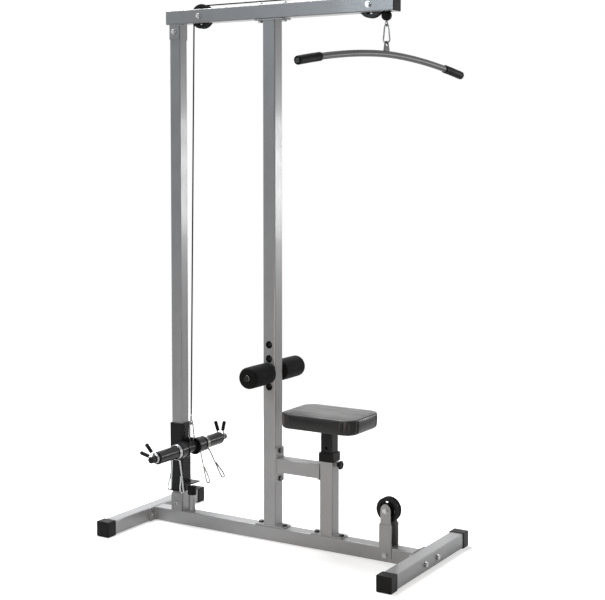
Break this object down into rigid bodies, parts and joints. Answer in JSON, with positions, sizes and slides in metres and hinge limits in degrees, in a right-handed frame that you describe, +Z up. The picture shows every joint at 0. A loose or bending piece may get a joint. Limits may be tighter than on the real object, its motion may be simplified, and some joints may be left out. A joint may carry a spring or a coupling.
{
  "type": "lat pulldown tower",
  "caption": "Plate-loaded lat pulldown and low row tower: weight carriage on a guide post, cable over pulleys, curved pull bar, thigh rollers and a height-adjustable seat.",
  "frame": {"origin": "on the floor under the middle of the overall box", "axes": "+Z up, +X to the front where the user sits, -Y to the left of a user facing the tower"},
  "size_m": [1.2976, 1.04, 2.0635],
  "materials": {
    "frame_paint": "silver-grey metallic paint",
    "black_steel": "black powder coat",
    "rubber": "matt black rubber or foam",
    "plastic": "black moulded plastic",
    "chrome": "bright plated spring wire",
    "zinc": "zinc plated steel",
    "vinyl": "black grained vinyl over foam",
    "plywood": "plain plywood",
    "cable_jacket": "dark plastic jacket over steel wire"
  },
  "bodies": {
    "frame": {"base_rail": "frame_paint", "beam_plug": "plastic", "cable_front_run": "cable_jacket", "cable_rear_run": "cable_jacket", "cable_top_run": "cable_jacket", "front_cap_left": "rubber", "front_cap_right": "rubber", "front_foot_bolt_left": "zinc", "front_foot_bolt_right": "zinc", "front_foot_tube": "frame_paint", "front_pulley_axle": "zinc", "guide_foot_bolt": "zinc", "guide_top_bolt": "zinc", "guide_upright": "frame_paint", "low_post_bolt": "zinc", "low_pulley_axle": "zinc", "low_pulley_post": "frame_paint", "main_upright": "frame_paint", "rear_cap_left": "rubber", "rear_cap_right": "rubber", "rear_foot_bolt_left": "zinc", "rear_foot_bolt_right": "zinc", "rear_foot_tube": "frame_paint", "rear_pulley_axle": "zinc", "seat_brace": "frame_paint", "seat_post": "frame_paint", "seat_post_collar": "plastic", "stop_bumper": "rubber", "stop_post": "frame_paint", "thigh_rod": "zinc", "top_beam": "frame_paint"},
    "carriage": {"carriage_sleeve": "black_steel", "carriage_liner": "plastic", "weight_bar": "black_steel", "weight_bar_hub": "black_steel", "carriage_hook": "zinc", "cable_rear_eye": "zinc"},
    "carriage_hook_gate": {"carriage_hook_gate": "zinc"},
    "plate_sleeve_left": {"plate_sleeve_left": "black_steel"},
    "plate_sleeve_right": {"plate_sleeve_right": "black_steel"},
    "wire_collar_left": {"wire_collar_left": "chrome"},
    "wire_collar_right": {"wire_collar_right": "chrome"},
    "grip_collar_left": {"grip_collar_left": "chrome"},
    "grip_collar_right": {"grip_collar_right": "chrome"},
    "cable_end": {"stop_ball": "rubber"},
    "bar_hook": {"cable_front_eye": "zinc", "bar_hook": "zinc"},
    "bar_hook_gate": {"bar_hook_gate": "zinc"},
    "lat_bar": {"lat_bar": "frame_paint", "lat_bar_grip_left": "rubber", "lat_bar_grip_right": "rubber"},
    "rear_pulley": {"rear_pulley": "plastic"},
    "front_pulley": {"front_pulley": "plastic"},
    "low_pulley": {"low_pulley": "plastic"},
    "seat": {"seat_inner_post": "black_steel", "seat_board": "plywood", "seat_pad": "vinyl"},
    "seat_knob": {"seat_knob": "plastic"},
    "thigh_roller_left": {"thigh_roller_left": "rubber"},
    "thigh_roller_right": {"thigh_roller_right": "rubber"}
  },
  "joints": [
    {"name": "carriage_slide", "type": "slide", "parent": "frame", "child": "carriage", "axis": [0, 0, 1], "range_m": [0, 1.05], "deforming": ["cable_rear_run"]},
    {"name": "bar_pull", "type": "slide", "parent": "frame", "child": "cable_end", "axis": [0, 0, -1], "range_m": [0, 1.05], "deforming": ["cable_front_run"]},
    {"name": "bar_swivel", "type": "hinge", "parent": "cable_end", "child": "bar_hook", "pos_m": [0.4515, 0, 1.94413], "axis": [0, 0, 1], "range_deg": [-70, 70]},
    {"name": "bar_tilt", "type": "hinge", "parent": "bar_hook", "child": "lat_bar", "pos_m": [0.4515, 0, 1.87713], "axis": [0.994, -0.1098, 0], "range_deg": [-18, 18]},
    {"name": "bar_hook_gate_swing", "type": "hinge", "parent": "bar_hook", "child": "bar_hook_gate", "pos_m": [0.46058, -0.001, 1.92863], "axis": [0.1098, 0.994, 0], "range_deg": [0, 25], "stiffness_Nm_per_rad": 0.02, "springref_deg": -5.73},
    {"name": "carriage_hook_gate_swing", "type": "hinge", "parent": "carriage", "child": "carriage_hook_gate", "pos_m": [-0.40957, 0, 0.3972], "axis": [0, 1, 0], "range_deg": [0, 25], "stiffness_Nm_per_rad": 0.02, "springref_deg": -5.73},
    {"name": "rear_pulley_spin", "type": "hinge", "parent": "frame", "child": "rear_pulley", "pos_m": [-0.354, 0, 2.016], "axis": [0, 1, 0], "range_deg": [0, 1450]},
    {"name": "front_pulley_spin", "type": "hinge", "parent": "frame", "child": "front_pulley", "pos_m": [0.391, 0, 2.016], "axis": [0, 1, 0], "range_deg": [0, 1450]},
    {"name": "low_pulley_spin", "type": "hinge", "parent": "frame", "child": "low_pulley", "pos_m": [0.468, 0, 0.192], "axis": [0, 1, 0], "continuous": true},
    {"name": "seat_height", "type": "slide", "parent": "frame", "child": "seat", "axis": [0, 0, 1], "range_m": [-0.08, 0.08]},
    {"name": "seat_knob_turn", "type": "hinge", "parent": "frame", "child": "seat_knob", "pos_m": [0.245, 0, 0.328], "axis": [1, 0, 0], "range_deg": [0, 720]},
    {"name": "thigh_roller_left_spin", "type": "hinge", "parent": "frame", "child": "thigh_roller_left", "pos_m": [-0.032, 0, 0.651], "axis": [0, 1, 0], "continuous": true},
    {"name": "plate_sleeve_left_slide", "type": "slide", "parent": "carriage", "child": "plate_sleeve_left", "axis": [0, -1, 0], "range_m": [0, 0.215]},
    {"name": "wire_collar_left_slide", "type": "slide", "parent": "plate_sleeve_left", "child": "wire_collar_left", "axis": [0, -1, 0], "range_m": [0, 0.095]},
    {"name": "grip_collar_left_slide", "type": "slide", "parent": "plate_sleeve_left", "child": "grip_collar_left", "axis": [0, -1, 0], "range_m": [0, 0.04]},
    {"name": "thigh_roller_right_spin", "type": "hinge", "parent": "frame", "child": "thigh_roller_right", "pos_m": [-0.032, 0, 0.651], "axis": [0, 1, 0], "continuous": true},
    {"name": "plate_sleeve_right_slide", "type": "slide", "parent": "carriage", "child": "plate_sleeve_right", "axis": [0, 1, 0], "range_m": [0, 0.215]},
    {"name": "wire_collar_right_slide", "type": "slide", "parent": "plate_sleeve_right", "child": "wire_collar_right", "axis": [0, 1, 0], "range_m": [0, 0.095]},
    {"name": "grip_collar_right_slide", "type": "slide", "parent": "plate_sleeve_right", "child": "grip_collar_right", "axis": [0, 1, 0], "range_m": [0, 0.04]}
  ],
  "couplings": [
    {"joint": "bar_pull", "follows": "carriage_slide", "ratio": 1},
    {"joint": "rear_pulley_spin", "follows": "carriage_slide", "rad_per_m": 23.952},
    {"joint": "front_pulley_spin", "follows": "carriage_slide", "rad_per_m": 23.952}
  ]
}
